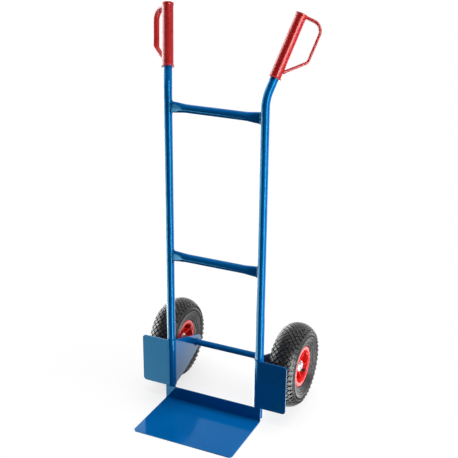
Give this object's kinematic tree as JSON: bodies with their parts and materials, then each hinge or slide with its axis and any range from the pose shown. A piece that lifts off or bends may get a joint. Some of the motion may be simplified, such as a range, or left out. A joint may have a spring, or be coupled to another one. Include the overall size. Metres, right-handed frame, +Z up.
{
  "type": "hand truck",
  "caption": "Upright two-wheeled hand truck: bent tube frame, fixed toe plate, wheel guards, air-filled tyres on ribbed rims and hand grips with knuckle loops.",
  "frame": {"origin": "on the floor, under the middle of the truck's own box, which is the middle between its two wheels from side to side", "axes": "+X to the truck's right side seen from the load side, -Y towards the load side, where the toe plate lies, +Z up"},
  "size_m": [0.5032, 0.4854, 1.1965],
  "materials": {
    "frame_paint": "high gloss powder coat",
    "grip_plastic": "glossy",
    "rim_plastic": "semi-gloss",
    "tyre_rubber": "matt",
    "tube_rubber": "matt",
    "valve_rubber": "satin",
    "cage_nylon": "satin",
    "bearing_steel": "ground",
    "zinc_plate": "bright zinc plate"
  },
  "bodies": {
    "frame": {"left_stile": "frame_paint", "right_stile": "frame_paint", "upper_crossbar": "frame_paint", "lower_crossbar": "frame_paint", "toe_plate": "frame_paint", "left_wheel_guard": "frame_paint", "right_wheel_guard": "frame_paint", "axle": "frame_paint", "left_grip": "grip_plastic", "right_grip": "grip_plastic", "left_axle_spacer": "zinc_plate", "right_axle_spacer": "zinc_plate", "left_inner_washer": "zinc_plate", "right_inner_washer": "zinc_plate", "left_outer_washer": "zinc_plate", "right_outer_washer": "zinc_plate", "left_axle_cap": "zinc_plate", "right_axle_cap": "zinc_plate"},
    "left_wheel": {"left_tyre": "tyre_rubber", "left_inner_tube": "tube_rubber", "left_rim_outer_half": "rim_plastic", "left_rim_inner_half": "rim_plastic", "left_rim_bolts": "zinc_plate", "left_rim_nuts": "zinc_plate", "left_hub_sleeve": "bearing_steel", "left_roller_cage": "cage_nylon", "left_bearing_rollers": "bearing_steel", "left_valve_stem": "valve_rubber", "left_valve_cap": "valve_rubber"},
    "right_wheel": {"right_tyre": "tyre_rubber", "right_inner_tube": "tube_rubber", "right_rim_outer_half": "rim_plastic", "right_rim_inner_half": "rim_plastic", "right_rim_bolts": "zinc_plate", "right_rim_nuts": "zinc_plate", "right_hub_sleeve": "bearing_steel", "right_roller_cage": "cage_nylon", "right_bearing_rollers": "bearing_steel", "right_valve_stem": "valve_rubber", "right_valve_cap": "valve_rubber"}
  },
  "joints": [
    {"name": "left_wheel_spin", "type": "hinge", "parent": "frame", "child": "left_wheel", "pos_m": [-0.2, 0.11275, 0.13], "axis": [1, 0, 0], "continuous": true},
    {"name": "right_wheel_spin", "type": "hinge", "parent": "frame", "child": "right_wheel", "pos_m": [0.2, 0.11275, 0.13], "axis": [1, 0, 0], "continuous": true}
  ]
}
